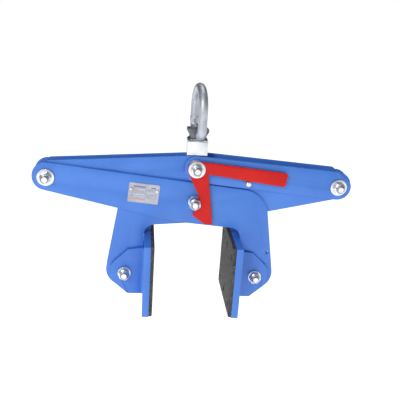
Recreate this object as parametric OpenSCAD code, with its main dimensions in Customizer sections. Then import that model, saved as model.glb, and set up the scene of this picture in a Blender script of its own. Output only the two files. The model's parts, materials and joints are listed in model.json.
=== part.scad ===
// Plate lifting clamp: a scissor linkage closes two rubber-lined jaws as its ring is lifted.
// X runs along the arms, Y through the plates (front is -Y) and Z is up. The clamp stands on
// the lower edges of its jaws, and the origin is on the floor at its middle.

/* [Linkage] */
// Distance of the end pivots from the middle with the clamp open
reach = 258; // [256:0.5:262]
// Height of the end pivots above the centre pivot with the clamp open
arm_rise = 36; // [35:0.5:38]
// Height of the top pivot above the end pivots with the clamp open
link_rise = 26; // [25:0.5:28]
// Height of the centre pivot above the floor
centre_h = 201; // [196:1:210]
// Distance of each jaw pivot from the middle
jaw_pivot_x = 120.5; // [120:0.5:122]
// Depth of the jaw pivots below the centre pivot
jaw_pivot_drop = 142; // [140:0.5:144]

/* [Plates] */
// Thickness of the arm, link and lug plates
plate_t = 5; // [4:0.5:6]
// Running gap between plates that move past each other
gap = 0.3; // [0.2:0.05:0.5]
// Radius of the round plate ends at the end pivots
end_r = 23.5; // [22:0.5:24]

/* [Lifting block and ring] */
// Width of the lifting block
block_w = 36; // [32:1:38]
// Thickness of the block between the links
block_t = 16; // [14:1:20]
// Thickness of the block's head, above the links
head_t = 30; // [26:1:34]
// Radius of the ring's wire
ring_wire_r = 7.75; // [7:0.25:8]
// Distance between the middles of the ring's two legs
ring_w = 72; // [70:1:76]
// Angle that the saddle is welded at, seen from above
saddle_turn = 6; // [0:1:8]

/* [Jaws] */
// Width of the jaws, front to back
jaw_w = 150; // [130:5:180]
// Height of the jaws
jaw_h = 135; // [125:1:135]
// Half of the opening between the rubber faces
half_opening = 68; // [67.5:0.5:68.5]
// Thickness of the rubber pads
rubber_t = 6.5; // [6:0.5:6.5]
// Thickness of the backing plates
backing_t = 12; // [10:1:12]

/* [Fasteners] */
// Radius of the shoulder of the main pivot bolts
shoulder_r = 8; // [7:0.5:8]
// Radius of the bolts' threads
thread_r = 6; // [5:0.5:6]
// Size of the nuts across their flats
nut_af = 19; // [18:0.5:19]
// Radius of the large pivot washers
washer_r = 15; // [14:0.5:16]

/* [Latch] */
// Thickness of the latch lever
latch_t = 5; // [4:0.5:5]
// Reach of the handle from the latch pivot
handle_reach = 162; // [150:1:170]

/* [Hidden] */

$fn = 64;
running = 0.1;             // radial clearance of a bolt in its hole
loose = 0.7;               // radial clearance of the centre stud in the left jaw's arm
overlap = 1;               // depth to which the stacked stretches of one bolt reach into each other
thread_chamfer = 1;
blue = [0.2, 0.42, 0.82];
zinc = [0.78, 0.8, 0.83];
red = [0.8, 0.16, 0.12];

// Heights and places of the pivots
centre = [0, centre_h];
apex = [0, centre_h + arm_rise + link_rise];
left_end = [-reach, centre_h + arm_rise];
right_end = [reach, centre_h + arm_rise];
jaw_z = centre_h - jaw_pivot_drop;
left_pivot = [-jaw_pivot_x, jaw_z];
right_pivot = [jaw_pivot_x, jaw_z];

// Layers of the plates, measured outwards from the middle plane
inner_y = block_t / 2 + gap;
outer_y = inner_y + plate_t + gap;
outer_face = outer_y + plate_t;
wide_lug_y = outer_face + gap;

// Jaw, latch and ring
back_x = half_opening + rubber_t + backing_t;
leg_inner_x = back_x + 2 * gap;
leg_end_r = jaw_pivot_x - leg_inner_x;
small_washer_r = 12;
small_washer_t = 2.5;
washer_t = 3;
nut_t = 12;
head_af = 24;
bolt_head_t = 10;
small_head_t = 7.5;
bush_r = 10;
latch_back = outer_face + 3.5;
latch_front = latch_back + latch_t;
apex_washer_y = latch_front + gap;
block_top = apex[1] + 48;
bar_z = block_top + 11;
bar_r = 7;
ring_bend = 12;
stop_pin_r = 5;
stop_pin_x = 93;
tag_hole = [jaw_pivot_x + 20, jaw_z + 47];
tag_hole_r = 3;

// ---- outlines ----

function unit(v) = v / norm(v);
function mirror_x(points) = [for (p = points) [-p[0], p[1], p[2]]];

// One corner of an outline as an arc, in more steps the larger its radius is. Each corner is
// [x, z, radius], and the points run around the outline either way.
function corner(a, b, c) =
    let (u = unit([a[0] - b[0], a[1] - b[1]]), v = unit([c[0] - b[0], c[1] - b[1]]),
         half = acos(u * v) / 2, mid = unit(u + v), m = [b[0], b[1]] + mid * b[2] / sin(half),
         p = [b[0], b[1]] + u * b[2] / tan(half), q = [b[0], b[1]] + v * b[2] / tan(half),
         start = atan2(p[1] - m[1], p[0] - m[0]), end = atan2(q[1] - m[1], q[0] - m[0]),
         turn = (end - start + 540) % 360 - 180, steps = min(14, 2 + floor(b[2] * 0.7)))
    [for (i = [0 : steps]) m + b[2] * [cos(start + turn * i / steps), sin(start + turn * i / steps)]];

function rounded(points) =
    let (n = len(points))
    [for (i = [0 : n - 1])
        each points[i][2] > 0
            ? corner(points[(i + n - 1) % n], points[i], points[(i + 1) % n])
            : [[points[i][0], points[i][1]]]];

// An outline in X and Z, as a plate between y0 and y1
module plate(y0, y1, points) {
    translate([0, y1, 0]) rotate([90, 0, 0]) linear_extrude(y1 - y0) polygon(points);
}

// A round bar or hole along Y at [x, z]
module rod(at, r, y0, y1) {
    translate([at[0], y1, at[1]]) rotate([90, 0, 0]) cylinder(r = r, h = y1 - y0);
}

// A hexagonal bar along Y
module hex(at, flats, y0, y1) {
    translate([at[0], y1, at[1]]) rotate([90, 30, 0])
        cylinder(r = flats / 2 / cos(30), h = y1 - y0, $fn = 6);
}

// Arm of the right jaw. It runs from the left end pivot, past the centre pivot, to the jaw. Its
// foot reaches a little less far below the jaw pivot than beside it.
foot_trim = 5;
leg_bottom = -jaw_pivot_drop - leg_end_r + foot_trim;
arm_outline = [
    [-reach - end_r, arm_rise + 28.5, end_r - 0.1],
    [128, 20.9, 52],
    [leg_inner_x + leg_end_r * 2 + 5.9, leg_bottom, leg_end_r - 0.1],
    [leg_inner_x, leg_bottom, leg_end_r - 0.1],
    [leg_inner_x, -49.4, 20],
    [-40, -38.3, 80],
    [-reach - end_r, arm_rise - 18.7, end_r - 0.1]
];

// Right link, from the top centre pivot to the right end pivot
link_outline = [
    [-20.5, arm_rise + link_rise + 22.6, 20.4],
    [reach - 4, arm_rise + 28.5, 5],
    [reach + end_r, arm_rise + 8.2, 16],
    [reach + end_r, arm_rise - 25.9, end_r - 0.2],
    [-20.5, arm_rise + 1.9, 20.4]
];

function raised(points) = [for (p = points) [p[0], p[1] + centre_h]];

// Only the right jaw's arm has the small hole near its outer edge
module arm_plate(y0, side, end_hole_r, jaw_hole_r, centre_hole_r) {
    outline = side > 0 ? arm_outline : mirror_x(arm_outline);
    end_pivot = side > 0 ? left_end : right_end;
    difference() {
        plate(y0, y0 + plate_t, raised(rounded(outline)));
        rod(end_pivot, end_hole_r, y0 - 1, y0 + plate_t + 1);
        rod(centre, centre_hole_r, y0 - 1, y0 + plate_t + 1);
        rod([side * jaw_pivot_x, jaw_z], jaw_hole_r, y0 - 1, y0 + plate_t + 1);
        if (side > 0) rod(tag_hole, tag_hole_r, y0 - 1, y0 + plate_t + 1);
    }
}

module link_plate(y0, side) {
    outline = side > 0 ? link_outline : mirror_x(link_outline);
    end_pivot = side > 0 ? right_end : left_end;
    difference() {
        plate(y0, y0 + plate_t, raised(rounded(outline)));
        rod(end_pivot, shoulder_r + running, y0 - 1, y0 + plate_t + 1);
        rod(apex, shoulder_r + running, y0 - 1, y0 + plate_t + 1);
    }
}

// Spacer tube between two plates whose inner faces are at -y and y
module spacer_tube(at, r, hole_r, y) {
    difference() {
        rod(at, r, -y, y);
        rod(at, hole_r, -y - 1, y + 1);
    }
}

// Washer that lies between y0 and y0 + t
module washer(at, r, hole_r, y0, t) {
    difference() {
        rod(at, r, y0, y0 + t);
        rod(at, hole_r, y0 - 1, y0 + t + 1);
    }
}

// Lock nut with a round collar, its seat at y and its collar towards the front
module lock_nut(at, y) {
    collar_t = 3;
    difference() {
        union() {
            intersection() {
                hex(at, nut_af, y - nut_t + collar_t, y);
                rod(at, nut_af * 0.56, y - nut_t + collar_t, y);
            }
            rod(at, nut_af * 0.42, y - nut_t, y - nut_t + collar_t + overlap);
        }
        rod(at, thread_r, y - nut_t - 1, y + 1);
    }
}

// Shoulder bolt: head at the rear with its seat at y_head, shoulder to y_shoulder, thread to y_tip
module shoulder_bolt(at, y_head, y_shoulder, y_tip) {
    hex(at, head_af, y_head, y_head + bolt_head_t);
    rod(at, shoulder_r, y_shoulder, y_head + overlap);
    rod(at, thread_r, y_tip + thread_chamfer, y_shoulder + overlap);
    rod(at, thread_r - thread_chamfer, y_tip, y_tip + thread_chamfer + overlap);
}

// ---- lifting block and ring ----

// The block's stem stands between the links, and its wider head above them
module lifting_block() {
    foot = 20;
    head_bottom = apex[1] + 21.5;
    chamfer = 2;
    w = block_w / 2;
    color(zinc) difference() {
        union() {
            plate(-block_t / 2, block_t / 2, rounded([
                [-w, apex[1] - foot, 12], [w, apex[1] - foot, 12],
                [w, head_bottom + 1, 0], [-w, head_bottom + 1, 0]]));
            translate([-w, 0, 0]) rotate([90, 0, 90]) linear_extrude(block_w) polygon([
                [-head_t / 2, head_bottom], [head_t / 2, head_bottom],
                [head_t / 2, block_top - chamfer], [head_t / 2 - chamfer, block_top],
                [-head_t / 2 + chamfer, block_top], [-head_t / 2, block_top - chamfer]]);
        }
        rod(apex, shoulder_r + running, -block_t, block_t);
    }
}

saddle_base = 13;
saddle_l = 20;
saddle_h = 20;

module ring_saddle() {
    step = 4.5;
    ear = 18.5;
    color([0.42, 0.44, 0.47]) rotate([0, 0, saddle_turn]) difference() {
        translate([0, 0, block_top]) plate(-saddle_l / 2, saddle_l / 2, rounded([
            [-saddle_base, 0, 0], [saddle_base, 0, 0], [saddle_base, step, 0],
            [ear, saddle_h - 5, 1.5], [ear - 1, saddle_h, 1.5],
            [0, saddle_h - 1.2, 30], [-ear + 1, saddle_h, 1.5], [-ear, saddle_h - 5, 1.5],
            [-saddle_base, step, 0]]));
        rod([0, bar_z], bar_r + 0.4, -saddle_l, saddle_l);
    }
}

// Fillet weld around the saddle's foot: a low mitred frame
module saddle_weld() {
    leg = 4;
    x = saddle_base;
    y = saddle_l / 2;
    color(zinc) rotate([0, 0, saddle_turn]) translate([0, 0, block_top]) difference() {
        intersection() {
            plate(-y - leg, y + leg, [[-x - leg, 0], [x + leg, 0], [x, leg], [-x, leg]]);
            translate([-x - leg, 0, 0]) rotate([90, 0, 90]) linear_extrude(2 * (x + leg))
                polygon([[-y - leg, 0], [y + leg, 0], [y, leg], [-y, leg]]);
        }
        translate([-x, -y, -1]) cube([2 * x, 2 * y, leg + 2]);
    }
}

// Closed ring: a thinner bar through the saddle, two legs and a round top
module lifting_ring() {
    leg_y = ring_w / 2;
    crown_z = 42;
    weld_z = 12;
    weld_h = 11;
    color([0.6, 0.62, 0.65]) rotate([0, 0, saddle_turn]) translate([0, 0, bar_z]) {
        rotate([90, 0, 0]) cylinder(r = bar_r, h = 2 * (leg_y - ring_bend), center = true);
        for (s = [-1, 1]) {
            translate([0, s * (leg_y - ring_bend), ring_bend]) rotate([90, 0, s > 0 ? 90 : -90])
                rotate([0, 0, -90]) rotate_extrude(angle = 90) translate([ring_bend, 0])
                    circle(r = ring_wire_r);
            translate([0, s * leg_y, ring_bend]) cylinder(r = ring_wire_r, h = crown_z - ring_bend);
        }
        translate([0, leg_y, weld_z]) cylinder(r = ring_wire_r + 0.9, h = weld_h);
        translate([0, 0, crown_z]) rotate([90, 0, 90]) rotate_extrude(angle = 180)
            translate([leg_y, 0]) circle(r = ring_wire_r);
    }
}

// ---- fasteners of the four main pivots ----

module apex_bolt() {
    color(zinc) shoulder_bolt(apex, outer_face + gap + washer_t, -apex_washer_y,
        -apex_washer_y - washer_t - nut_t - 2);
}

module apex_washers() {
    color(zinc) {
        washer(apex, washer_r, thread_r + running, -apex_washer_y - washer_t, washer_t);
        washer(apex, washer_r, shoulder_r + running, outer_face + gap, washer_t);
    }
}

module apex_nut() {
    color(zinc) lock_nut(apex, -apex_washer_y - washer_t);
}

module end_bolt(at) {
    color(zinc) shoulder_bolt(at, outer_face + washer_t, -outer_face,
        -outer_face - washer_t - nut_t - 2);
}

module end_washers(at) {
    color(zinc) {
        washer(at, washer_r, thread_r + running, -outer_face - washer_t, washer_t);
        washer(at, washer_r, shoulder_r + running, outer_face, washer_t);
    }
}

module end_nut(at) {
    color(zinc) lock_nut(at, -outer_face - washer_t);
}

// Stud at the centre pivot. The latch hooks around its neck, between its collar and its nut.
module centre_stud() {
    neck_r = 4.5;
    nut_seat = -latch_front - 2 * gap;
    collar_face = -latch_back + 2 * gap;
    color(zinc) difference() {
        shoulder_bolt(centre, outer_face + washer_t, -outer_face, nut_seat - nut_t - 2);
        washer(centre, shoulder_r, neck_r, nut_seat, collar_face - nut_seat);
    }
}

module centre_washers() {
    collar_r = 11;
    color(zinc) {
        washer(centre, collar_r, thread_r + running, -latch_back + 2 * gap,
            latch_back - outer_face - 2 * gap);
        washer(centre, washer_r, shoulder_r + running, outer_face, washer_t);
    }
}

module centre_nut() {
    color(zinc) lock_nut(centre, -latch_front - 2 * gap);
}

module latch_stop_pin() {
    color(zinc) rod([stop_pin_x, apex[1] + handle_bottom(stop_pin_x) - stop_pin_r - 2 * gap],
        stop_pin_r, -latch_front - 1.5, -outer_face);
}

// ---- nameplate ----

plate_at = [-90, centre_h + 12.5];
plate_turn = 5;
plate_size = [54, 36];

module nameplate() {
    corner_r = 2;
    w = plate_size[0] / 2;
    h = plate_size[1] / 2;
    color(zinc) translate([plate_at[0], 0, plate_at[1]]) rotate([0, plate_turn, 0]) difference() {
        plate(-outer_face - 0.8, -outer_face, rounded([
            [-w, -h, corner_r], [w, -h, corner_r], [w, h, corner_r], [-w, h, corner_r]]));
        for (s = [-1, 1]) rod([s * (w - 4), h / 3], 1.6, -outer_face - 2, -outer_face + 1);
    }
}

module nameplate_rivets() {
    w = plate_size[0] / 2;
    h = plate_size[1] / 2;
    color(zinc) translate([plate_at[0], 0, plate_at[1]]) rotate([0, plate_turn, 0])
        for (s = [-1, 1]) {
            rod([s * (w - 4), h / 3], 1.5, -outer_face - 0.8, -outer_face);
            rod([s * (w - 4), h / 3], 2.6, -outer_face - 1.8, -outer_face - 0.8);
        }
}

// ---- jaws ----

screw_ys = [-jaw_w / 2 + 16, 0, jaw_w / 2 - 16];
screw_zs = [22, jaw_h - 22];
screw_r = 3;
screw_sink = 3.5;          // depth of the recess for a screw's head

// A hole or a bar along X, for the right jaw, from x0 to x1
module cross_rod(y, z, r, x0, x1) {
    translate([x0, y, z]) rotate([0, 90, 0]) cylinder(r = r, h = x1 - x0);
}

module backing_plate() {
    color(blue) difference() {
        translate([half_opening + rubber_t, -jaw_w / 2, 0]) cube([backing_t, jaw_w, jaw_h]);
        for (y = screw_ys, z = screw_zs) cross_rod(y, z, screw_r, half_opening, back_x + 1);
    }
}

module rubber_pad() {
    lift = 1;
    sink_r = 6;
    color([0.16, 0.17, 0.19]) difference() {
        translate([half_opening, -jaw_w / 2 + lift, lift])
            cube([rubber_t, jaw_w - 2 * lift, jaw_h - lift]);
        for (y = screw_ys, z = screw_zs) {
            cross_rod(y, z, screw_r, half_opening - 1, back_x);
            cross_rod(y, z, sink_r, half_opening - 1, half_opening + screw_sink);
        }
    }
}

module pad_screws() {
    head_r = 5.5;
    head_h = 2.3;
    seat = half_opening + screw_sink;
    color([0.2, 0.2, 0.22]) for (y = screw_ys, z = screw_zs) {
        cross_rod(y, z, screw_r, seat, back_x);
        cross_rod(y, z, head_r, seat - head_h, seat);
    }
}

// Lug outline for the right jaw, from the backing plate around the jaw pivot
lug_top = jaw_z + 51;
lug_bottom = jaw_z - 42;
lug_outline = [
    [back_x, lug_top, 0], [114.5, lug_top - 4, 6], [145.2, jaw_z + 17, 22],
    [144.5, jaw_z - 15, 22], [114, lug_bottom, 6], [back_x, lug_bottom, 0]
];

module jaw_lugs(y0) {
    color(blue) for (y = [-y0 - plate_t, y0]) difference() {
        plate(y, y + plate_t, rounded(lug_outline));
        rod(right_pivot, thread_r + running, y - 1, y + plate_t + 1);
    }
}

// Weld beads where the lugs meet the backing plate
module jaw_welds(y0) {
    leg = 4;
    color(blue) for (s = [-1, 1])
        translate([back_x, s * (y0 + plate_t), lug_bottom])
            linear_extrude(lug_top - lug_bottom) polygon([[0, 0], [leg, 0], [0, s * leg]]);
}

module jaw_bolt(y0) {
    seat = y0 + plate_t + small_washer_t;
    tip = -seat - nut_t - 2;
    color(zinc) {
        hex(right_pivot, nut_af, seat, seat + small_head_t);
        rod(right_pivot, thread_r, tip + thread_chamfer, seat + overlap);
        rod(right_pivot, thread_r - thread_chamfer, tip, tip + thread_chamfer + overlap);
    }
}

module jaw_washers(y0) {
    face = y0 + plate_t;
    color(zinc) for (y = [-face - small_washer_t, face])
        washer(right_pivot, small_washer_r, thread_r + running, y, small_washer_t);
}

module jaw_nut(y0) {
    color(zinc) lock_nut(right_pivot, -y0 - plate_t - small_washer_t);
}

// The left jaw is the right jaw's mirror image, with its lugs closer together
module on_left() {
    mirror([1, 0, 0]) children();
}

// ---- latch ----

// Lower edge of the handle above the latch pivot
function handle_bottom(x) = -9 - 0.135 * (x - 26);

latch_outline = [
    [-15.9, -3, 0],
    [-10.5, -14, 0],
    [7.6, -52, 3],
    [6.4, -65.8, 0],
    [-2.6, -85, 1],
    [20.5, -101.5, 2],
    [33.8, -102, 2],
    [20.6, handle_bottom(20.6), 3],
    [handle_reach - 3, handle_bottom(handle_reach - 3), 5],
    [handle_reach, -2.2, 4],
    [-15.9, 15.9, 15.8]
];

// Bush that the latch turns on, with a flange that holds it off the link
module latch_bush() {
    color(zinc) difference() {
        union() {
            rod(apex, bush_r, -latch_front, -outer_face - gap);
            rod(apex, washer_r, -latch_back + gap, -outer_face - gap);
        }
        rod(apex, shoulder_r + running, -latch_front - 1, -outer_face);
    }
}

module latch_lever() {
    color(red) difference() {
        translate([0, 0, apex[1]]) plate(-latch_front, -latch_back, rounded(latch_outline));
        rod(apex, bush_r + running, -latch_front - 1, -latch_back + 1);
    }
}

lifting_block();
ring_saddle();
saddle_weld();
lifting_ring();
apex_bolt();
apex_washers();
apex_nut();
color(blue) link_plate(-inner_y - plate_t, -1);  // left_link_front
color(blue) link_plate(inner_y, -1);  // left_link_rear
color(blue)  // left_end_spacer
    spacer_tube(left_end, 13, shoulder_r + running, inner_y);
color(blue) link_plate(-outer_face, 1);  // right_link_front
color(blue) link_plate(outer_y, 1);  // right_link_rear
latch_stop_pin();
end_bolt(right_end);  // right_end_bolt
end_washers(right_end);  // right_end_washers
end_nut(right_end);  // right_end_nut
color(blue)  // right_arm_front
    arm_plate(-outer_face, 1, shoulder_r + running, thread_r + running, shoulder_r + running);
color(blue)  // right_arm_rear
    arm_plate(outer_y, 1, shoulder_r + running, thread_r + running, shoulder_r + running);
color(blue)  // right_jaw_spacer
    spacer_tube(right_pivot, 11, thread_r + running, outer_y);
end_bolt(left_end);  // left_end_bolt
end_washers(left_end);  // left_end_washers
end_nut(left_end);  // left_end_nut
centre_stud();
centre_washers();
centre_nut();
nameplate();
nameplate_rivets();
color(blue)  // left_arm_front
    arm_plate(-inner_y - plate_t, -1, shoulder_r + running, thread_r + running, shoulder_r + loose);
color(blue)  // left_arm_rear
    arm_plate(inner_y, -1, shoulder_r + running, thread_r + running, shoulder_r + loose);
color(blue)  // left_jaw_spacer
    spacer_tube(left_pivot, 11, thread_r + running, inner_y);
color(blue)  // centre_spacer
    spacer_tube(centre, 13, shoulder_r + loose, inner_y);
color(blue)  // right_end_spacer
    spacer_tube(right_end, 13, shoulder_r + running, inner_y);
on_left() backing_plate();  // left_backing_plate
on_left() jaw_lugs(outer_y);  // left_jaw_lugs
on_left() jaw_welds(outer_y);  // left_jaw_welds
on_left() rubber_pad();  // left_rubber_pad
on_left() pad_screws();  // left_pad_screws
on_left() jaw_bolt(outer_y);  // left_jaw_bolt
on_left() jaw_washers(outer_y);  // left_jaw_washers
on_left() jaw_nut(outer_y);  // left_jaw_nut
backing_plate();  // right_backing_plate
jaw_lugs(wide_lug_y);  // right_jaw_lugs
jaw_welds(wide_lug_y);  // right_jaw_welds
rubber_pad();  // right_rubber_pad
pad_screws();  // right_pad_screws
jaw_bolt(wide_lug_y);  // right_jaw_bolt
jaw_washers(wide_lug_y);  // right_jaw_washers
jaw_nut(wide_lug_y);  // right_jaw_nut
latch_bush();
latch_lever();
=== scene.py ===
"""Looks of the plate lifting clamp: detailed pieces, materials, light and camera."""

import json
import math

import bmesh
import bpy
from mathutils import Matrix, Vector, noise


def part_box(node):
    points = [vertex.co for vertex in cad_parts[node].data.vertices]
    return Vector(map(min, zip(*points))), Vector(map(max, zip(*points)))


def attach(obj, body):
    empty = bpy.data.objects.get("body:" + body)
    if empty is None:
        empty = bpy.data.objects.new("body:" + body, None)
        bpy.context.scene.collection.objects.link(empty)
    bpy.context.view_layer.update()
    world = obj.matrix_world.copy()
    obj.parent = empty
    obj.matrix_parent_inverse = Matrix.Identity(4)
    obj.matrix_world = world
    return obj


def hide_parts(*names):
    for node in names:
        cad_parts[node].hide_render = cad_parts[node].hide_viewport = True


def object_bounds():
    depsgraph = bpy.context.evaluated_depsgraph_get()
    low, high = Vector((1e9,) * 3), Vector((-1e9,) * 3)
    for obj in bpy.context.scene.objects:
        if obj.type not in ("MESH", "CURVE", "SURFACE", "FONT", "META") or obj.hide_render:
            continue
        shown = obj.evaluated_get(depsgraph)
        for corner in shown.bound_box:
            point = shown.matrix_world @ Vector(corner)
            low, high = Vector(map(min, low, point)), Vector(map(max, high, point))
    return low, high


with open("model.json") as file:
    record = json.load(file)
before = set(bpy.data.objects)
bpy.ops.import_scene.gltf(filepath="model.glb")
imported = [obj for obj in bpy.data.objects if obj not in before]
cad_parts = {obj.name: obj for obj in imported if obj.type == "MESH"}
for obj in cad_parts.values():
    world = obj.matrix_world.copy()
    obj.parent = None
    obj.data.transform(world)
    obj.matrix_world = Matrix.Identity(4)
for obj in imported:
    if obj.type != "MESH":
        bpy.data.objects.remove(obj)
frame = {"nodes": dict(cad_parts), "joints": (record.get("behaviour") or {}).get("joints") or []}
cad_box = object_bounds()

MM = 0.001
TAU = 2 * math.pi
Y_AXIS = Vector((0, 1, 0))
Z_AXIS = Vector((0, 0, 1))

# Sizes of the standard parts
NUT_FLATS = 19 * MM
HEAD_FLATS = 24 * MM
HEAD_T = 10 * MM
SMALL_HEAD_T = 7.5 * MM
THREAD_R = 6 * MM
THREAD_PITCH = 1.75 * MM
THREAD_DEPTH = 0.95 * MM
CORE_DEPTH = 1.2 * THREAD_DEPTH
SHOULDER_R = 8 * MM
NECK_R = 4.5 * MM
WASHER_T = 3 * MM
SMALL_WASHER_T = 2.5 * MM
COLLAR_R = 11 * MM
COLLAR_T = 2.9 * MM

# Sizes of the ring and its saddle
BAR_R = 7 * MM
RING_BEND = 12 * MM
SADDLE_HALF = (13 * MM, 10 * MM)
WELD_LEG = 4 * MM
WELD_STEP = 0.45 * MM

# Sizes of the jaws' screws and of the data plate
SCREW_HEAD_R = 5.5 * MM
SCREW_R = 3 * MM
SCREW_SINK = 3.5 * MM
PLATE_HALF = (27 * MM, 18 * MM)
PLATE_TURN = math.radians(5)

# How far the floor lies below the open jaws, which sink as the clamp closes
HANG = 140 * MM

# A Mix node's sockets when it blends colours: the two inputs and the result
MIX_FIRST, MIX_SECOND, MIX_RESULT = 6, 7, 2


# ---------------------------------------------------------------- camera, light and floor

def make_camera():
    """The camera of the photograph's view: left of the middle, a little above, and slightly rolled."""
    yaw, pitch, roll = 0.109, 0.334, 0.068  # in radians
    data = bpy.data.cameras.new("camera")
    data.sensor_width = 36
    data.lens = 53.56
    camera = bpy.data.objects.new("camera", data)
    bpy.context.scene.collection.objects.link(camera)
    flat = math.cos(pitch)
    forward = Vector((math.sin(yaw) * flat, math.cos(yaw) * flat, -math.sin(pitch)))
    level = Vector((math.cos(yaw), -math.sin(yaw), 0))
    above = level.cross(forward)
    right = level * math.cos(roll) + above * math.sin(roll)
    up = above * math.cos(roll) - level * math.sin(roll)
    turn = Matrix((right, up, -forward)).transposed()
    camera.matrix_world = Matrix.Translation((-0.0987, -1.0101, 0.5507)) @ turn.to_4x4()
    bpy.context.scene.camera = camera
    bpy.context.scene.view_settings.view_transform = "Standard"


def area_light(name, place, target, size, power):
    """A rectangular light of this size and power in watts, aimed at a point."""
    data = bpy.data.lights.new(name, "AREA")
    data.shape = "RECTANGLE"
    data.size, data.size_y = size
    data.energy = power
    light = bpy.data.objects.new(name, data)
    light.location = place
    light.rotation_euler = (Vector(target) - Vector(place)).to_track_quat("-Z", "Y").to_euler()
    bpy.context.scene.collection.objects.link(light)


def make_lights():
    """A soft key light from the upper left, with weaker fills from the right and above."""
    clamp = (0, 0, 0.2)
    area_light("key_light", (-1.15, -1.9, 1.55), clamp, (0.7, 0.5), 24)
    area_light("fill_light", (1.5, -1.7, 0.8), clamp, (0.8, 1.2), 2.0)
    area_light("top_light", (0.1, 0.5, 2.2), clamp, (1.2, 1.2), 10)


def make_surround():
    """A surround that the camera sees as white, and that lights the clamp softly from the front."""
    world = bpy.data.worlds.new("surround")
    bpy.context.scene.world = world
    world.use_nodes = True
    nodes, links = world.node_tree.nodes, world.node_tree.links
    nodes.clear()
    seen = nodes.new("ShaderNodeBackground")
    seen.inputs["Color"].default_value = (1, 1, 1, 1)
    seen.inputs["Strength"].default_value = 1.0
    direction = nodes.new("ShaderNodeTexCoord")
    facing = nodes.new("ShaderNodeVectorMath")
    facing.operation = "DOT_PRODUCT"
    facing.inputs[1].default_value = (-0.28, -0.82, 0.5)
    levels = nodes.new("ShaderNodeMapRange")
    levels.interpolation_type = "SMOOTHSTEP"
    levels.inputs["From Min"].default_value = -0.15
    levels.inputs["From Max"].default_value = 0.9
    levels.inputs["To Min"].default_value = 0.1
    levels.inputs["To Max"].default_value = 0.28
    lit = nodes.new("ShaderNodeBackground")
    lit.inputs["Color"].default_value = (0.93, 0.96, 1, 1)
    path = nodes.new("ShaderNodeLightPath")
    mix = nodes.new("ShaderNodeMixShader")
    out = nodes.new("ShaderNodeOutputWorld")
    links.new(direction.outputs["Generated"], facing.inputs[0])
    links.new(facing.outputs["Value"], levels.inputs["Value"])
    links.new(levels.outputs["Result"], lit.inputs["Strength"])
    links.new(path.outputs["Is Camera Ray"], mix.inputs["Fac"])
    links.new(lit.outputs[0], mix.inputs[1])
    links.new(seen.outputs[0], mix.inputs[2])
    links.new(mix.outputs[0], out.inputs["Surface"])


def make_floor():
    """A plain pale floor. The clamp hangs over it by its ring, clear of it even when it closes."""
    material, tree, shader = new_material("pale_floor")
    tone = blend_colours(tree, grain(tree, 0.5), (0.9, 0.9, 0.9), (0.93, 0.93, 0.93))
    tree.links.new(tone, shader.inputs["Base Color"])
    shader.inputs["Roughness"].default_value = 0.9
    shader.inputs["Emission Color"].default_value = (1, 1, 1, 1)
    shader.inputs["Emission Strength"].default_value = 0.84
    mesh = bpy.data.meshes.new("floor")
    half = 60.0
    level = cad_box[0][2] - HANG
    corners = [(x * half, y * half, level) for x, y in ((-1, -1), (1, -1), (1, 1), (-1, 1))]
    mesh.from_pydata(corners, [], [(0, 1, 2, 3)])
    mesh.materials.append(material)
    floor = bpy.data.objects.new("floor", mesh)
    bpy.context.scene.collection.objects.link(floor)


# ---------------------------------------------------------------- materials

def new_material(name):
    """A material with its node tree and its shader."""
    material = bpy.data.materials.new(name)
    material.use_nodes = True
    tree = material.node_tree
    return material, tree, tree.nodes["Principled BSDF"]


def coordinates(tree, stretch=(1, 1, 1)):
    """The piece's own coordinates in metres, stretched along its axes."""
    source = tree.nodes.new("ShaderNodeTexCoord")
    mapping = tree.nodes.new("ShaderNodeMapping")
    mapping.inputs["Scale"].default_value = stretch
    tree.links.new(source.outputs["Object"], mapping.inputs["Vector"])
    return mapping.outputs["Vector"]


def grain(tree, size, detail=3, stretch=(1, 1, 1), roughness=0.5):
    """Noise whose features are about size metres across."""
    node = tree.nodes.new("ShaderNodeTexNoise")
    node.inputs["Scale"].default_value = 1 / size
    node.inputs["Detail"].default_value = detail
    node.inputs["Roughness"].default_value = roughness
    tree.links.new(coordinates(tree, stretch), node.inputs["Vector"])
    return node.outputs["Fac"]


def spread(tree, value, low, high, start=0.3, end=0.7):
    """Maps a noise value to a range."""
    node = tree.nodes.new("ShaderNodeMapRange")
    node.inputs["From Min"].default_value = start
    node.inputs["From Max"].default_value = end
    node.inputs["To Min"].default_value = low
    node.inputs["To Max"].default_value = high
    tree.links.new(value, node.inputs["Value"])
    return node.outputs["Result"]


def blend_colours(tree, value, first, second, start=0.3, end=0.7):
    """A colour between two others, as a noise value goes from start to end."""
    node = tree.nodes.new("ShaderNodeMix")
    node.data_type = "RGBA"
    node.inputs[MIX_FIRST].default_value = (*first, 1)
    node.inputs[MIX_SECOND].default_value = (*second, 1)
    tree.links.new(spread(tree, value, 0, 1, start, end), node.inputs[0])
    return node.outputs[MIX_RESULT]


def mix_over(tree, mask, under, colour):
    """Lays a plain colour over another one where the mask is white."""
    node = tree.nodes.new("ShaderNodeMix")
    node.data_type = "RGBA"
    node.inputs[MIX_SECOND].default_value = (*colour, 1)
    tree.links.new(under, node.inputs[MIX_FIRST])
    tree.links.new(mask, node.inputs[0])
    return node.outputs[MIX_RESULT]


def edge_mask(tree, radius, gain):
    """White along sharp edges, where the rounded normal leaves the true one."""
    rounded = tree.nodes.new("ShaderNodeBevel")
    rounded.samples = 4
    rounded.inputs["Radius"].default_value = radius
    true_normal = tree.nodes.new("ShaderNodeNewGeometry")
    dot = tree.nodes.new("ShaderNodeVectorMath")
    dot.operation = "DOT_PRODUCT"
    tree.links.new(rounded.outputs["Normal"], dot.inputs[0])
    tree.links.new(true_normal.outputs["Normal"], dot.inputs[1])
    return spread(tree, dot.outputs["Value"], gain, 0, 0.8, 0.995)


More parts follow.
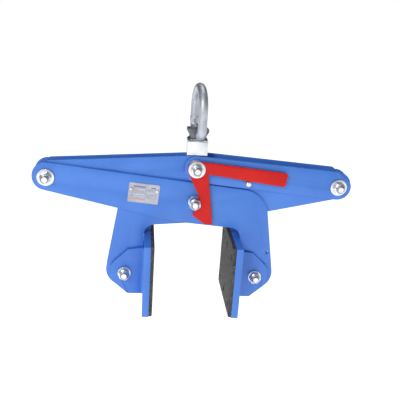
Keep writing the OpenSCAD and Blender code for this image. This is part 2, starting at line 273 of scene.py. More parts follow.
def add_bump(tree, shader, height, distance):
    """Adds a bump to a shader, on top of any that it already has."""
    node = tree.nodes.new("ShaderNodeBump")
    node.inputs["Distance"].default_value = distance
    tree.links.new(height, node.inputs["Height"])
    if shader.inputs["Normal"].is_linked:
        tree.links.new(shader.inputs["Normal"].links[0].from_socket, node.inputs["Normal"])
    tree.links.new(node.outputs["Normal"], shader.inputs["Normal"])


def paint(name, colour, dark, edge_highlight, gloss=1.0):
    """Powder coat: a slight orange peel, faint clouding, and a paler colour along the edges that is a
    painted highlight.
    """
    material, tree, shader = new_material(name)
    clouds = blend_colours(tree, grain(tree, 45 * MM), colour, dark)
    # The edges are painted paler: a painted highlight where the rounded edges would catch the light.
    tone = mix_over(tree, edge_mask(tree, 0.9 * MM, 0.3), clouds, edge_highlight)
    tree.links.new(tone, shader.inputs["Base Color"])
    tree.links.new(spread(tree, grain(tree, 14 * MM, 4), 0.3, 0.42), shader.inputs["Roughness"])
    shader.inputs["Coat Weight"].default_value = 0.18 * gloss
    shader.inputs["Specular IOR Level"].default_value = 0.5 * gloss
    shader.inputs["Coat Roughness"].default_value = 0.2
    add_bump(tree, shader, grain(tree, 1.6 * MM, 2), 0.04 * MM)
    add_bump(tree, shader, grain(tree, 9 * MM, 1), 0.05 * MM)
    return material


def metal(name, colour, dark, rough, scratch=(1, 1, 1), scratch_depth=0.01 * MM, patch=12 * MM):
    """Bare or plated metal: patches of tone, fine tool marks, and roughness that varies with both."""
    material, tree, shader = new_material(name)
    shader.inputs["Metallic"].default_value = 1
    tree.links.new(blend_colours(tree, grain(tree, patch, 4), colour, dark), shader.inputs["Base Color"])
    tree.links.new(spread(tree, grain(tree, 3 * MM, 5), rough[0], rough[1]), shader.inputs["Roughness"])
    add_bump(tree, shader, grain(tree, 1.2 * MM, 4, scratch), scratch_depth)
    return material


def ink(name, colour, faded):
    """Print on the data plate, faded in places."""
    material, tree, shader = new_material(name)
    tree.links.new(blend_colours(tree, grain(tree, 2 * MM), colour, faded), shader.inputs["Base Color"])
    tree.links.new(spread(tree, grain(tree, 5 * MM), 0.4, 0.55), shader.inputs["Roughness"])
    add_bump(tree, shader, grain(tree, 0.6 * MM), 0.01 * MM)
    return material


def moulded_rubber():
    """Dull rubber in blotches of two greys, with pale dust on its high spots."""
    material, tree, shader = new_material("pad_rubber")
    blotches = grain(tree, 7 * MM, 5, roughness=0.75)
    tone = blend_colours(tree, blotches, (0.016, 0.017, 0.019), (0.085, 0.083, 0.08), 0.38, 0.66)
    dust = spread(tree, grain(tree, 3.2 * MM, 3), 0, 0.7, 0.54, 0.7)
    tree.links.new(mix_over(tree, dust, tone, (0.2, 0.19, 0.18)), shader.inputs["Base Color"])
    tree.links.new(spread(tree, grain(tree, 2 * MM, 4), 0.62, 0.85), shader.inputs["Roughness"])
    add_bump(tree, shader, grain(tree, 1.1 * MM, 5, roughness=0.65), 0.25 * MM)
    return material


def bare_weld():
    """Weld metal with brownish and dark heat patches."""
    material, tree, shader = new_material("bare_weld")
    shader.inputs["Metallic"].default_value = 1
    patches = blend_colours(tree, grain(tree, 4 * MM, 4), (0.5, 0.48, 0.46), (0.25, 0.24, 0.26))
    tree.links.new(patches, shader.inputs["Base Color"])
    tree.links.new(spread(tree, grain(tree, 2 * MM), 0.3, 0.5), shader.inputs["Roughness"])
    add_bump(tree, shader, grain(tree, 0.9 * MM), 0.06 * MM)
    return material


def nylon_insert():
    """The dark nylon ring inside a lock nut."""
    material, tree, shader = new_material("nylon_insert")
    tone = blend_colours(tree, grain(tree, 2 * MM), (0.07, 0.09, 0.1), (0.04, 0.05, 0.06))
    tree.links.new(tone, shader.inputs["Base Color"])
    shader.inputs["Roughness"].default_value = 0.45
    shader.inputs["Subsurface Weight"].default_value = 0.1
    return material


def make_materials():
    """All looks by name."""
    # Paints: colour, darker clouds and the paler colour of the painted highlight along the edges
    blue = ((0.06, 0.225, 0.74), (0.05, 0.195, 0.68), (0.15, 0.34, 0.82))
    red = ((0.7, 0.011, 0.007), (0.6, 0.009, 0.006), (0.74, 0.05, 0.035))
    # Metals: colour, darker patches, lowest and highest roughness, and the stretch of the tool marks
    thread = ((0.46, 0.48, 0.53), (0.3, 0.32, 0.37), (0.34, 0.5))
    zinc = ((0.84, 0.85, 0.87), (0.66, 0.68, 0.72), (0.26, 0.4))
    block = ((0.86, 0.88, 0.9), (0.76, 0.79, 0.83), (0.3, 0.42), (1, 1, 0.08))
    ring = ((0.62, 0.65, 0.69), (0.5, 0.53, 0.58), (0.46, 0.58), (1, 1, 0.15))
    saddle = ((0.27, 0.29, 0.32), (0.14, 0.15, 0.17), (0.4, 0.6), (1, 1, 1))
    label = ((0.5, 0.51, 0.58), (0.42, 0.42, 0.48), (0.34, 0.46), (0.05, 1, 1))
    black = ((0.07, 0.07, 0.075), (0.035, 0.035, 0.04), (0.35, 0.5))
    return {
        "pad_rubber": moulded_rubber(),
        "bare_weld": bare_weld(),
        "nylon_insert": nylon_insert(),
        "blue_paint": paint("blue_powder_coat", *blue),
        "red_paint": paint("red_powder_coat", *red, gloss=0.4),
        "cut_thread": metal("cut_thread", *thread),
        "zinc_steel": metal("bright_zinc", *zinc),
        "block_steel": metal("block_zinc", *block, scratch_depth=0.02 * MM),
        "ring_steel": metal("drawn_steel", *ring),
        "saddle_steel": metal("forged_steel", *saddle, scratch_depth=0.2 * MM, patch=7 * MM),
        "label_plate": metal("satin_aluminium", *label, scratch_depth=0.02 * MM),
        "black_steel": metal("black_oxide", *black),
        "plate_ink": ink("plate_ink", (0.16, 0.16, 0.24), (0.24, 0.24, 0.32)),
        "plate_salmon": ink("plate_salmon", (0.56, 0.3, 0.24), (0.62, 0.4, 0.34)),
        "plate_pale": ink("plate_pale", (0.42, 0.58, 0.78), (0.5, 0.64, 0.8)),
    }


# ---------------------------------------------------------------- mesh helpers

def finish_piece(name, bm, materials, body, nodes, smooth_angle=35):
    """Turns a bmesh into a piece that rides on a body and stands for the CAD nodes listed."""
    bmesh.ops.remove_doubles(bm, verts=bm.verts, dist=1e-7)
    bmesh.ops.recalc_face_normals(bm, faces=bm.faces)
    mesh = bpy.data.meshes.new(name)
    bm.to_mesh(mesh)
    bm.free()
    for material in materials:
        mesh.materials.append(material)
    mesh.shade_smooth()
    mesh.set_sharp_from_angle(angle=math.radians(smooth_angle))
    piece = bpy.data.objects.new(name, mesh)
    bpy.context.scene.collection.objects.link(piece)
    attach(piece, body)
    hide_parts(*nodes)
    return piece


def at_angle(value, angle):
    """A number, or the value of a function at this angle."""
    return value(angle) if callable(value) else value


def spin(bm, origin, axis, rows, segments=48, turn=0.0, closed=False):
    """A shape turned about an axis.

    A row is (radius, height) or (radius, height, material). Radius and height may be functions of
    the angle. A row's material is that of the band from it to the next row."""
    side = axis.cross(Z_AXIS).normalized()
    front = side.cross(axis)
    rings = []
    for row in rows:
        ring = []
        for i in range(segments):
            angle = TAU * i / segments
            radial = side * math.cos(angle + turn) + front * math.sin(angle + turn)
            point = origin + radial * at_angle(row[0], angle) + axis * at_angle(row[1], angle)
            ring.append(bm.verts.new(point))
        rings.append(ring)
    pairs = list(zip(rings, rings[1:]))
    if closed:
        pairs.append((rings[-1], rings[0]))
    for k, (low, high) in enumerate(pairs):
        for i in range(segments):
            j = (i + 1) % segments
            face = bm.faces.new((low[i], low[j], high[j], high[i]))
            face.material_index = rows[k][2] if len(rows[k]) > 2 else 0


def hexagon(flats):
    """The radius of a hexagon at each angle, with its corners cut a little round."""
    corner_r = flats * 0.572

    def radius(angle):
        offset = (angle + math.pi / 6) % (math.pi / 3) - math.pi / 6
        return min(flats / 2 / math.cos(offset), corner_r)
    return radius


def coned(outline, start_r, height, slope):
    """The height at which a hexagon meets a chamfer cone that starts at a radius."""
    return lambda angle: height + slope * max(0.0, outline(angle) - start_r)


def thread_rows(y_from, y_to, tip_chamfer):
    """Rows of a screw thread in the second material, from the shank to the chamfered tip."""
    step = THREAD_PITCH / 6
    count = max(2, round(abs(y_to - y_from) / step))
    rows = []
    for k in range(count + 1):
        y = y_from + (y_to - y_from) * k / count
        left = abs(y_to - y)
        cone = THREAD_R - CORE_DEPTH * max(0.0, 1 - left / tip_chamfer)
        fade = min(1.0, abs(y - y_from) / THREAD_PITCH)
        rows.append((thread_radius(y, cone, fade), y, 1))
    return rows


def thread_radius(y, cone, fade):
    """The thread's radius round the angle at one height: a flat-topped groove that winds as it goes."""
    def radius(angle):
        phase = (y / THREAD_PITCH + angle / TAU) % 1
        groove = max(0.0, min(1.0, 2.6 * abs(2 * phase - 1) - 0.45))
        return min(cone, THREAD_R - THREAD_DEPTH * groove * fade)
    return radius


def node_place(node):
    """The middle of a node in X and Z as a point on the XZ plane, and its two ends along Y."""
    low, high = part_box(node)
    return Vector(((low.x + high.x) / 2, 0, (low.z + high.z) / 2)), low.y, high.y


def half_width(node):
    """Half of a node's width along X, which is the radius of a round part that lies along Y."""
    low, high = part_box(node)
    return (high.x - low.x) / 2


# ---------------------------------------------------------------- fasteners

def hex_head_rows(flats, top, seat):
    """A forged hexagon head, from its dished top to the washer face under it."""
    outline = hexagon(flats)
    face_r = flats * 0.475
    dish_r, dish = face_r * 0.72, 0.35 * MM
    washer_face = seat + 0.5 * MM
    slope = math.tan(math.radians(30))
    return [
        (0, top - dish), (dish_r, top - dish), (face_r * 0.8, top), (face_r, top),
        (outline, coned(outline, face_r, top, -slope)),
        (outline, coned(outline, face_r, washer_face, slope * 0.5)),
        (face_r, washer_face), (face_r, seat),
    ]


def make_bolt(node, body, head_flats, head_t, shoulder, thread_from, neck=None):
    """A bolt from the rear: head, shoulder or plain shank, then the thread with its chamfered tip.

    thread_from is where the thread starts along Y, and neck is an optional (radius, y_from, y_to)."""
    place, tip, top = node_place(node)
    fillet = 0.6 * MM
    seat = top - head_t
    rows = hex_head_rows(head_flats, top, seat)
    rows += [(shoulder + fillet, seat), (shoulder, seat - fillet)]
    if shoulder > THREAD_R:
        rows += [(shoulder, thread_from + 0.5 * MM), (shoulder - 0.5 * MM, thread_from)]
    rows.append((THREAD_R, thread_from))
    if neck:
        radius, y_from, y_to = neck
        rows += [(THREAD_R, y_from + fillet), (radius, y_from)]
        rows += [(radius, y_to + fillet), (THREAD_R, y_to)]
        thread_from = y_to
    rows += thread_rows(thread_from, tip, 1.2 * MM)
    rows[-1] = rows[-1][:2]  # the end face is as bright as the head
    rows.append((0, tip))
    bm = bmesh.new()
    spin(bm, place, Y_AXIS, rows, 60)
    looks = [LOOKS["zinc_steel"], LOOKS["cut_thread"]]
    finish_piece(node + "_turned", bm, looks, body, [node])


def make_nut(node, body, turn):
    """A lock nut: chamfered hexagon, round collar with a rolled lip, and the nylon ring inside it."""
    place, end, seat = node_place(node)
    outline = hexagon(NUT_FLATS)
    face_r = NUT_FLATS * 0.47
    collar_r = NUT_FLATS * 0.42
    foot_r = collar_r + 0.5 * MM
    slope = math.tan(math.radians(30))
    collar_seat = end + 3.2 * MM
    bore = THREAD_R - 0.05 * MM
    hexagon_rows = [
        (bore + 0.7 * MM, seat), (face_r, seat),
        (outline, coned(outline, face_r, seat, -slope)),
        (outline, coned(outline, foot_r, collar_seat, slope)),
    ]
    collar_rows = [
        (foot_r, collar_seat), (collar_r, collar_seat - 0.5 * MM), (collar_r, end + 1.1 * MM),
        (collar_r - 0.15 * MM, end + 0.5 * MM), (collar_r - 0.5 * MM, end + 0.12 * MM),
        (collar_r - 1.0 * MM, end),
    ]
    insert_rows = [
        (collar_r - 1.3 * MM, end + 0.25 * MM, 1), (bore + 0.35 * MM, end + 0.35 * MM, 1),
        (bore, end + 0.8 * MM), (bore, seat - 0.7 * MM),
    ]
    bm = bmesh.new()
    spin(bm, place, Y_AXIS, hexagon_rows + collar_rows + insert_rows, 72, turn, closed=True)
    looks = [LOOKS["zinc_steel"], LOOKS["nylon_insert"]]
    finish_piece(node + "_detailed", bm, looks, body, [node])


def washer_rows(outer, inner, y0, y1):
    """A stamped washer: a rolled edge on one side and a sharper one on the other."""
    roll, sharp = 0.55 * MM, 0.2 * MM
    return [
        (inner, y0 + sharp), (inner + roll * 0.8, y0),
        (outer - roll, y0), (outer - roll * 0.3, y0 + roll * 0.3), (outer, y0 + roll),
        (outer, y1 - sharp), (outer - sharp, y1), (inner + sharp, y1), (inner, y1 - sharp),
    ]


def make_washers(node, body, outer, thickness, front_outer=None, rear_inner=SHOULDER_R):
    """The front and the rear washer of a pivot. The front one may have a radius of its own."""
    place, front, rear = node_place(node)
    gap = 0.12 * MM
    front_rows = washer_rows(front_outer or outer, THREAD_R + gap, front, front + thickness)
    rear_rows = washer_rows(outer, rear_inner + gap, rear, rear - thickness)
    bm = bmesh.new()
    spin(bm, place, Y_AXIS, front_rows, 64, closed=True)
    spin(bm, place, Y_AXIS, rear_rows, 64, closed=True)
    finish_piece(node + "_stamped", bm, [LOOKS["zinc_steel"]], body, [node])


def make_pivot_sets():
    """The bolts and washers of the four main pivots."""
    plates_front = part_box("right_arm_front")[0].y
    neck = (NECK_R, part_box("centre_washers")[0].y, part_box("centre_nut")[1].y)
    washer_r = half_width("apex_washers")
    apex_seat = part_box("apex_washers")[0].y + WASHER_T
    make_bolt("apex_bolt", "lifting_block", HEAD_FLATS, HEAD_T, SHOULDER_R, apex_seat)
    make_bolt("left_end_bolt", "right_jaw_arm", HEAD_FLATS, HEAD_T, SHOULDER_R, plates_front)
    make_bolt("right_end_bolt", "right_link", HEAD_FLATS, HEAD_T, SHOULDER_R, plates_front)
    make_bolt("centre_stud", "right_jaw_arm", HEAD_FLATS, HEAD_T, SHOULDER_R, plates_front, neck)
    make_washers("apex_washers", "lifting_block", washer_r, WASHER_T)
    make_washers("left_end_washers", "right_jaw_arm", washer_r, WASHER_T)
    make_washers("right_end_washers", "right_link", washer_r, WASHER_T)
    make_washers("centre_washers", "right_jaw_arm", washer_r, COLLAR_T, front_outer=COLLAR_R)


def make_jaw_pivot(side):
    """The bolt and the washers of one jaw's pivot."""
    lug_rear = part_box(side + "_jaw_lugs")[1].y
    radius = half_width(side + "_jaw_washers")
    make_bolt(side + "_jaw_bolt", side + "_jaw", NUT_FLATS, SMALL_HEAD_T, THREAD_R, -lug_rear)
    make_washers(side + "_jaw_washers", side + "_jaw", radius, SMALL_WASHER_T, rear_inner=THREAD_R)


def make_nuts():
    """The six lock nuts, each with its hexagon turned its own way."""
    for node, body, turn in (
        ("apex_nut", "lifting_block", 0.35), ("centre_nut", "right_jaw_arm", 0.1),
        ("left_end_nut", "right_jaw_arm", 0.75), ("right_end_nut", "right_link", 0.55),
        ("left_jaw_nut", "left_jaw", 0.2), ("right_jaw_nut", "right_jaw", 0.5),
    ):
        make_nut(node, body, turn)


def make_stop_pin():
    """The pin that the latch handle rests on: a domed pin with a small weld at its foot."""
    place, front, rear = node_place("latch_stop_pin")
    radius = half_width("latch_stop_pin")
    dome = 2.2 * MM
    dome_steps = 6
    rows = [(0, front)]
    for k in range(1, dome_steps + 1):
        angle = math.pi / 2 * k / dome_steps
        rows.append((radius - dome + dome * math.sin(angle), front + dome * (1 - math.cos(angle))))
    rows += [(radius, rear - 1.2 * MM), (radius + 0.25 * MM, rear - 0.7 * MM)]
    rows += [(radius + 0.9 * MM, rear), (0, rear)]
    bm = bmesh.new()
    spin(bm, place, Y_AXIS, rows, 40)
    looks = [LOOKS["zinc_steel"]]
    finish_piece("stop_pin_domed", bm, looks, "right_link", ["latch_stop_pin"])


# ---------------------------------------------------------------- ring, saddle and welds

def sweep(bm, points, radii, normal, sides=28):
    """A closed round bar along points that lie in the plane with this normal."""
    count = len(points)
    rings = []
    for k in range(count):
        along = (points[(k + 1) % count] - points[k - 1]).normalized()
        out = along.cross(normal).normalized()
        ring = []
        for i in range(sides):
            angle = TAU * i / sides
            radial = out * math.cos(angle) + normal * math.sin(angle)
            ring.append(bm.verts.new(points[k] + radial * radii[k]))
        rings.append(ring)
    for k in range(count):
        low, high = rings[k], rings[(k + 1) % count]
        for i in range(sides):
            j = (i + 1) % sides
            bm.faces.new((low[i], low[j], high[j], high[i]))


def ring_path(half_w, crown_h, step):
    """Points (across, up) round the ring from the near end of its bar, with the bar at height 0."""
    path = []
    flat = half_w - RING_BEND
    bend_steps, crown_steps = 8, 48
    leg_steps = range(1, int((crown_h - RING_BEND) / step))
    for k in range(int(2 * flat / step) + 1):
        path.append((-flat + k * step, 0))
    for k in range(bend_steps + 1):
        a = math.pi / 2 * k / bend_steps
        path.append((flat + RING_BEND * math.sin(a), RING_BEND - RING_BEND * math.cos(a)))
    for k in leg_steps:
        path.append((half_w, RING_BEND + k * step))
    for k in range(crown_steps + 1):
        a = math.pi * k / crown_steps
        path.append((half_w * math.cos(a), crown_h + half_w * math.sin(a)))
    for k in leg_steps:
        path.append((-half_w, crown_h - k * step))
    for k in range(bend_steps + 1):
        a = math.pi / 2 * (1 - k / bend_steps)
        path.append((-flat - RING_BEND * math.sin(a), RING_BEND - RING_BEND * math.cos(a)))
    return path


def bar_radius(across, up, wire, half_w):
    """The bar's radius: thinner through the saddle, and swollen at the upset weld on the far leg."""
    radius = wire
    if up == 0:
        thin_half = 12 * MM
        thicker = max(0.0, (abs(across) - thin_half) / (half_w - RING_BEND - thin_half))
        radius = BAR_R + (wire - BAR_R) * thicker
    if across > half_w * 0.98:
        weld_z, weld_half = 17.5 * MM, 5.2 * MM
        swelling = math.exp(-(((up - weld_z) / weld_half) ** 4))
        ripple = 0.12 * MM * math.sin((up - weld_z) / (1.1 * MM))
        radius += (0.75 * MM + ripple) * swelling
    return radius


def ring_bar():
    """The middle of the ring's bar and the direction that it lies in, from the ring's joint."""
    swing = next(j for j in frame["joints"] if j["name"] == "ring_swing")
    return Vector(swing["pos_m"]), Vector(swing["axis"]).normalized()


def make_ring():
    """The lifting ring, drawn from one bar."""
    low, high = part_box("lifting_ring")
    centre, across = ring_bar()
    wire = centre.z - low.z
    half_w = (-low.y - wire) / across.y
    crown_h = high.z - wire - half_w - centre.z
    points, radii = [], []
    for s, up in ring_path(half_w, crown_h, 1.0 * MM):
        points.append(centre + across * s + Z_AXIS * up)
        radii.append(bar_radius(s, up, wire, half_w))
    points = drop_repeats(points, radii)
    bm = bmesh.new()
    sweep(bm, points, radii, across.cross(Z_AXIS))
    looks = [LOOKS["ring_steel"]]
    finish_piece("ring_drawn", bm, looks, "lifting_ring", ["lifting_ring"], 60)


def drop_repeats(points, radii):
    """The points without those that lie on the one before. Their radii are dropped from the list."""
    least = 0.05 * MM
    kept = []
    k = 0
    while k < len(points):
        if kept and (points[k] - kept[-1]).length < least:
            points.pop(k)
            radii.pop(k)
            continue
        kept.append(points[k])
        k += 1
    if (kept[0] - kept[-1]).length < least:
        kept.pop()
        radii.pop()
    return kept


def bead(bm, path, outs, ups, leg, closed):
    """A weld bead along a path: a crowned fillet whose ripples overlap like coins."""
    count = len(path)
    profile = 9
    foot = 0.78
    ripple_length, wobble_size = 1.7 * MM, 6 * MM
    rings = []
    run = 0.0
    for k in range(count):
        if k:
            run += (path[k] - path[k - 1]).length
        ripple = (run / ripple_length) % 1
        wobble = noise.noise(path[k] / wobble_size) * 0.08
        size = leg * (0.8 + 0.1 * math.sin(ripple * math.pi) + wobble)
        ring = [bm.verts.new(path[k])]
        for i in range(profile):
            a = math.pi / 2 * i / (profile - 1)
            x, y = math.cos(a), math.sin(a)
            crown = foot + 0.1 * math.sin(2 * a)
            reach = crown / (x + y) * (1 + 0.25 * math.sin(2 * a))
            end = 1 / foot if i in (0, profile - 1) else 1.15
            ring.append(bm.verts.new(path[k] + (outs[k] * x + ups[k] * y) * (size * reach * end)))
        rings.append(ring)
    stretch = count if closed else count - 1
    for k in range(stretch):
        low, high = rings[k], rings[(k + 1) % count]
        for i in range(profile + 1):
            j = (i + 1) % (profile + 1)
            bm.faces.new((low[i], low[j], high[j], high[i]))
    if not closed:
        bm.faces.new(rings[0])
        bm.faces.new(rings[-1])


def rounded_corners(half_w, half_h, corner, steps):
    """The four corners of a rectangle as points on arcs: (arc's middle, angle) for each point."""
    for quarter, (sx, sy) in enumerate(((1, 1), (-1, 1), (-1, -1), (1, -1))):
        middle = (sx * (half_w - corner), sy * (half_h - corner))
        for k in range(steps + 1):
            yield middle, math.pi / 2 * (quarter + k / steps)


def make_saddle_weld():
    """The bead round the saddle's foot."""
    across = ring_bar()[1]
    right = across.cross(Z_AXIS)
    corner = 1.5 * MM
    path, outs = [], []
    for (x, y), angle in rounded_corners(*SADDLE_HALF, corner, 5):
        out = right * math.cos(angle) + across * math.sin(angle)
        path.append(right * x + across * y + out * corner)
        outs.append(out)
    path, outs = fill_gaps(path, outs, WELD_STEP)
    base = Vector((0, 0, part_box("ring_saddle")[0].z))
    bm = bmesh.new()
    bead(bm, [base + p for p in path], outs, [Z_AXIS] * len(path), WELD_LEG, True)
    looks = [LOOKS["bare_weld"]]
    finish_piece("saddle_weld_bead", bm, looks, "lifting_block", ["saddle_weld"], 50)


def fill_gaps(path, outs, step):
    """Adds points along the straight stretches of a closed path."""
    new_path, new_outs = [], []
    for k in range(len(path)):
        j = (k + 1) % len(path)
        pieces = max(1, round((path[j] - path[k]).length / step))
        for i in range(pieces):
            new_path.append(path[k].lerp(path[j], i / pieces))
            new_outs.append(outs[k].lerp(outs[j], i / pieces).normalized())
    return new_path, new_outs


def make_lug_welds(side):
    """The painted beads between a jaw's lugs and its backing plate."""
    low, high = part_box(side + "_jaw_welds")
    leg = high.x - low.x
    sign, plate_x = (-1, high.x) if side == "left" else (1, low.x)
    lug_y = high.y - leg
    margin = 1.5 * MM
    count = int((high.z - low.z - 2 * margin) / WELD_STEP)
    bm = bmesh.new()
    for face in (-1, 1):
        heights = [low.z + margin + k * WELD_STEP for k in range(count + 1)]
        path = [Vector((plate_x, face * lug_y, z)) for z in heights]
        outs = [Vector((sign, 0, 0))] * len(path)
        ups = [Vector((0, face, 0))] * len(path)
        bead(bm, path, outs, ups, leg, False)
    looks, nodes = [LOOKS["blue_paint"]], [side + "_jaw_welds"]
    finish_piece(side + "_lug_weld_beads", bm, looks, side + "_jaw", nodes, 50)


# ---------------------------------------------------------------- jaw pads

def pad_depth(y, z, half_w, height):
    """How far the pad's gripping face lies behind its highest level: a rough grain and a rounded rim."""
    depth = 0.55 * MM * (0.5 + 0.5 * noise.noise(Vector((y, z, 0)) / (3.4 * MM)))
    depth += 0.3 * MM * (0.5 + 0.5 * noise.noise(Vector((y, z, 0.1)) / (1.7 * MM)))
    from_rim = min(half_w - abs(y), z, height - z)
    radius = 1.6 * MM
    if from_rim < radius:
        depth += radius - math.sqrt(max(0.0, radius * radius - (radius - from_rim) ** 2))
    return depth


def pad_blank(bm, low, high, face_x, back_x):
    """The pad as a slab with a fine grid on its gripping face."""
    step = 1.1 * MM
    half_w = (high.y - low.y) / 2
    height = high.z - low.z
    columns = round((high.y - low.y) / step)
    lines = round(height / step)
    inward = 1 if back_x > face_x else -1
    grid = []
    for i in range(columns + 1):
        line = []
        for j in range(lines + 1):
            y = -half_w + 2 * half_w * i / columns
            z = height * j / lines
            x = face_x + inward * pad_depth(y, z, half_w, height)
            line.append(bm.verts.new((x, y, low.z + z)))
        grid.append(line)
    for i in range(columns):
        for j in range(lines):
            bm.faces.new((grid[i][j], grid[i + 1][j], grid[i + 1][j + 1], grid[i][j + 1]))
    bottom, top = [line[0] for line in grid], [line[-1] for line in grid]
    rim = bottom + grid[-1][1:] + top[-2::-1] + grid[0][-2:0:-1]
    back = [bm.verts.new((back_x, v.co.y, v.co.z)) for v in rim]
    for k in range(len(rim)):
        j = (k + 1) % len(rim)
        bm.faces.new((rim[k], back[k], back[j], rim[j]))
    bm.faces.new(back)


def screw_places(side):
    """The middles (y, z) of a pad's six screws, from the screws' own box."""
    low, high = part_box(side + "_pad_screws")
    edge_y = high.y - SCREW_HEAD_R
    rows_z = (low.z + SCREW_HEAD_R, high.z - SCREW_HEAD_R)
    return [(y, z) for y in (-edge_y, 0, edge_y) for z in rows_z]


def jaw_sides(low, high, side):
    """Along X, the gripping side and the back of a box in a jaw, and the way from one to the other."""
    if side == "right":
        return low.x, high.x, Vector((1, 0, 0))
    return high.x, low.x, Vector((-1, 0, 0))


def recess_cutter(side, face_x, inward):
    """A helper object whose shape is taken out of the pad: six lipped recesses and their screw holes."""
    head_gap, screw_gap = 0.5 * MM, 0.1 * MM
    recess_r, hole_r = SCREW_HEAD_R + head_gap, SCREW_R + screw_gap
    before, through = -2 * MM, 9 * MM
    rows = [
        (0, before), (8.2 * MM, before), (7 * MM, 0.1 * MM), (6.3 * MM, 0.7 * MM), (recess_r, 1.4 * MM),
        (recess_r, SCREW_SINK), (hole_r, SCREW_SINK), (hole_r, through), (0, through),
    ]
    bm = bmesh.new()
    for y, z in screw_places(side):
        spin(bm, Vector((face_x, y, z)), inward, rows, 40)
    bmesh.ops.remove_doubles(bm, verts=bm.verts, dist=1e-7)
    bmesh.ops.recalc_face_normals(bm, faces=bm.faces)
    mesh = bpy.data.meshes.new("cutter")
    bm.to_mesh(mesh)
    bm.free()
    cutter = bpy.data.objects.new("cutter", mesh)
    bpy.context.scene.collection.objects.link(cutter)
    return cutter


def make_pad(side):
    """A rubber pad with a grained face and six recesses for its screws."""
    low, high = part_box(side + "_rubber_pad")
    face_x, back_x, inward = jaw_sides(low, high, side)
    bm = bmesh.new()
    pad_blank(bm, low, high, face_x, back_x)
    looks, nodes = [LOOKS["pad_rubber"]], [side + "_rubber_pad"]
    pad = finish_piece(side + "_grained_pad", bm, looks, side + "_jaw", nodes, 50)
    cutter = recess_cutter(side, face_x, inward)
    cut = pad.modifiers.new("holes", "BOOLEAN")
    cut.operation = "DIFFERENCE"
    cut.solver = "EXACT"
    cut.object = cutter
    bpy.context.view_layer.update()
    depsgraph = bpy.context.evaluated_depsgraph_get()
    cut_mesh = bpy.data.meshes.new_from_object(pad.evaluated_get(depsgraph))
    pad.modifiers.clear()
    pad.data = cut_mesh
    bpy.data.objects.remove(cutter)
    cut_mesh.shade_smooth()
    cut_mesh.set_sharp_from_angle(angle=math.radians(50))


def make_pad_screws(side):
    """Six socket screws: low round heads sunk in the pad, and their ends flush in the backing plate."""
    head_x, end_x, inward = jaw_sides(*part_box(side + "_pad_screws"), side)
    end = abs(end_x - head_x) - 0.05 * MM
    head_h = 2.3 * MM
    socket = hexagon(4 * MM)
    rows = [
        (0, 1.5 * MM), (socket, 1.3 * MM), (socket, 0.15 * MM), (lambda a: socket(a) + 0.2 * MM, 0),
        (SCREW_HEAD_R * 0.62, 0.02 * MM), (SCREW_HEAD_R * 0.86, 0.35 * MM),
        (SCREW_HEAD_R * 0.98, 1.0 * MM), (SCREW_HEAD_R, 1.6 * MM), (SCREW_HEAD_R, head_h),
        (SCREW_R, head_h), (SCREW_R, end - 0.55 * MM), (SCREW_R - 0.5 * MM, end), (0, end),
    ]
    bm = bmesh.new()
    for k, (y, z) in enumerate(screw_places(side)):
        spin(bm, Vector((head_x, y, z)), inward, rows, 36, turn=0.7 * k)
    looks, nodes = [LOOKS["black_steel"]], [side + "_pad_screws"]
    finish_piece(side + "_socket_screws", bm, looks, side + "_jaw", nodes)


# ---------------------------------------------------------------- nameplate

def slab(bm, turned, x0, x1, z0, z1, y0, y1, chamfer, material):
    """A low block on the plate from y0 up to y1, chamfered along its front edges."""
    front = [
        (x0 + chamfer, z0 + chamfer), (x1 - chamfer, z0 + chamfer),
        (x1 - chamfer, z1 - chamfer), (x0 + chamfer, z1 - chamfer),
    ]
    foot = [(x0, z0), (x1, z0), (x1, z1), (x0, z1)]
    tops = [bm.verts.new(turned @ Vector((x, y1, z))) for x, z in front]
    edges = [bm.verts.new(turned @ Vector((x, y1 + chamfer, z))) for x, z in foot]
    feet = [bm.verts.new(turned @ Vector((x, y0, z))) for x, z in foot]
    faces = [bm.faces.new(tops), bm.faces.new(feet)]
    for k in range(4):
        j = (k + 1) % 4
        faces.append(bm.faces.new((tops[k], tops[j], edges[j], edges[k])))
        faces.append(bm.faces.new((edges[k], edges[j], feet[j], feet[k])))
    for face in faces:
        face.material_index = material


def plate_outline(inset):
    """The data plate's outline, drawn in by this much, as points (x, z) with rounded corners."""
    half_w, half_h = PLATE_HALF
    corner = 2 * MM - inset * 0.8
    return [
        (x + corner * math.cos(angle), z + corner * math.sin(angle))
        for (x, z), angle in rounded_corners(half_w - inset, half_h - inset, corner, 6)
    ]


def make_nameplate():
    """A data plate with a raised rim, ruled rows and blank fields, and no lettering."""
    low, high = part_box("nameplate")
    middle = Vector(((low.x + high.x) / 2, high.y, (low.z + high.z) / 2))
    turned = Matrix.Translation(middle) @ Matrix.Rotation(PLATE_TURN, 4, "Y")
    top = low.y - high.y
    field = top + 0.2 * MM
    edge, rim = 0.15 * MM, 1.1 * MM
    levels = [(0.0, 0.0), (0.0, top + edge), (edge, top), (rim, top), (rim + 0.2 * MM, field)]
    bm = bmesh.new()
    rings = []
    for inset, y in levels:
        rings.append([bm.verts.new(turned @ Vector((x, y, z))) for x, z in plate_outline(inset)])
    for lower, upper in zip(rings, rings[1:]):
        for i in range(len(lower)):
            j = (i + 1) % len(lower)
            bm.faces.new((lower[i], lower[j], upper[j], upper[i]))
    bm.faces.new(rings[0])
    bm.faces.new(rings[-1])
    add_plate_fields(bm, turned, field)
    looks = [LOOKS["label_plate"], LOOKS["plate_ink"], LOOKS["plate_salmon"], LOOKS["plate_pale"]]
    finish_piece("blank_data_plate", bm, looks, "right_jaw_arm", ["nameplate"])
    make_rivets(turned, top)


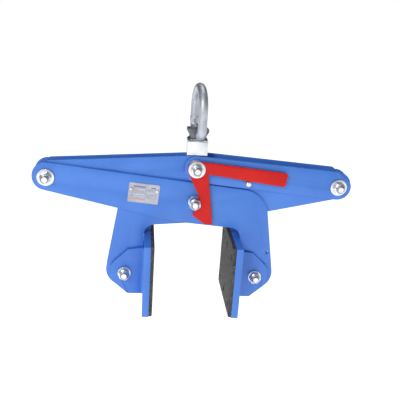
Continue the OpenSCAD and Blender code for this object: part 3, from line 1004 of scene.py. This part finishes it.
def add_plate_fields(bm, turned, field):
    """Raised dividing lines, header bars and coloured blank fields that stand for the print."""
    rise = field - 0.12 * MM
    chamfer = 0.04 * MM
    ink, salmon, pale = 1, 2, 3
    # In mm: from x to x, middle z, height, and the colour
    bars = [(-24.5, 24.5, z, 0.3, ink) for z in (8.6, 4.3, 0, -4.3, -8.6)]
    bars += [(-19, 2, 11.6, 2.6, ink), (12, 20, 11.2, 2.2, ink)]
    bars += [(-9, 1, 6.4, 2.6, pale), (-14, 1, -2.2, 2.8, pale)]
    bars += [(-22, 1, 2.0, 1.4, salmon), (-24, 2, -11.4, 2.4, salmon)]
    bars += [(6, 16, 6.4, 0.8, ink), (5, 18, -2.2, 0.7, ink), (5, 14, -6.5, 0.7, ink)]
    bars += [(-22, -16, 6.4, 0.8, ink), (-22, -17, -6.5, 0.8, ink)]
    for x0, x1, z, height, colour in bars:
        z0, z1 = z - height / 2, z + height / 2
        slab(bm, turned, x0 * MM, x1 * MM, z0 * MM, z1 * MM, field, rise, chamfer, colour)
    for x in (3, 21):
        x0, x1 = x - 0.15, x + 0.15
        slab(bm, turned, x0 * MM, x1 * MM, -14 * MM, 8.4 * MM, field, rise, chamfer, ink)


def make_rivets(turned, top):
    """The two domed rivets at the ends of the data plate."""
    half_w, half_h = PLATE_HALF
    head_r, head_h, shank_r = 2.6 * MM, 0.95 * MM, 1.5 * MM
    foot = top - 0.05 * MM
    dome_steps = 7
    rows = [(0, foot - head_h)]
    for k in range(1, dome_steps + 1):
        a = math.pi / 2 * k / dome_steps
        rows.append((head_r * math.sin(a), foot - head_h * math.cos(a)))
    rows += [(head_r, top + 0.02 * MM), (shank_r, top + 0.1 * MM), (shank_r, 0), (0, 0)]
    bm = bmesh.new()
    for end in (-1, 1):
        place = turned @ Vector((end * (half_w - 4 * MM), 0, half_h / 3))
        spin(bm, place, Y_AXIS, rows, 28)
    looks, nodes = [LOOKS["zinc_steel"]], ["nameplate_rivets"]
    finish_piece("plate_rivets_domed", bm, looks, "right_jaw_arm", nodes)


# ---------------------------------------------------------------- CAD nodes that stay

def dress(node, material, width, segments=3):
    """Gives a CAD node its material, and rounds its sharp edges with modifiers."""
    piece = frame["nodes"][node]
    piece.data.materials.clear()
    piece.data.materials.append(material)
    for polygon in piece.data.polygons:
        polygon.use_smooth = True
    weld = piece.modifiers.new("join", "WELD")
    weld.merge_threshold = 0.005 * MM
    flat = piece.modifiers.new("flat_faces", "DECIMATE")
    flat.decimate_type = "DISSOLVE"
    flat.angle_limit = math.radians(0.5)
    soften = piece.modifiers.new("edges", "BEVEL")
    soften.width = width
    soften.segments = segments
    soften.limit_method = "ANGLE"
    soften.angle_limit = math.radians(30)
    soften.harden_normals = True


def dress_frame():
    """The painted plates, lugs and spacers, the latch with its bush, the block and the saddle."""
    painted = ("_link_", "_arm_", "_spacer", "backing_plate", "jaw_lugs")
    for node in frame["nodes"]:
        if any(part in node for part in painted):
            dress(node, LOOKS["blue_paint"], 0.7 * MM)
    dress("latch_lever", LOOKS["red_paint"], 0.7 * MM)
    dress("latch_bush", LOOKS["zinc_steel"], 0.4 * MM)
    dress("lifting_block", LOOKS["block_steel"], 0.8 * MM)
    dress("ring_saddle", LOOKS["saddle_steel"], 1.0 * MM, 4)


make_camera()
make_lights()
make_surround()
make_floor()
LOOKS = make_materials()
dress_frame()
make_pivot_sets()
make_nuts()
for jaw_side in ("left", "right"):
    make_jaw_pivot(jaw_side)
make_stop_pin()
make_ring()
make_saddle_weld()
for jaw_side in ("left", "right"):
    make_lug_welds(jaw_side)
for jaw_side in ("left", "right"):
    make_pad(jaw_side)
    make_pad_screws(jaw_side)
make_nameplate()
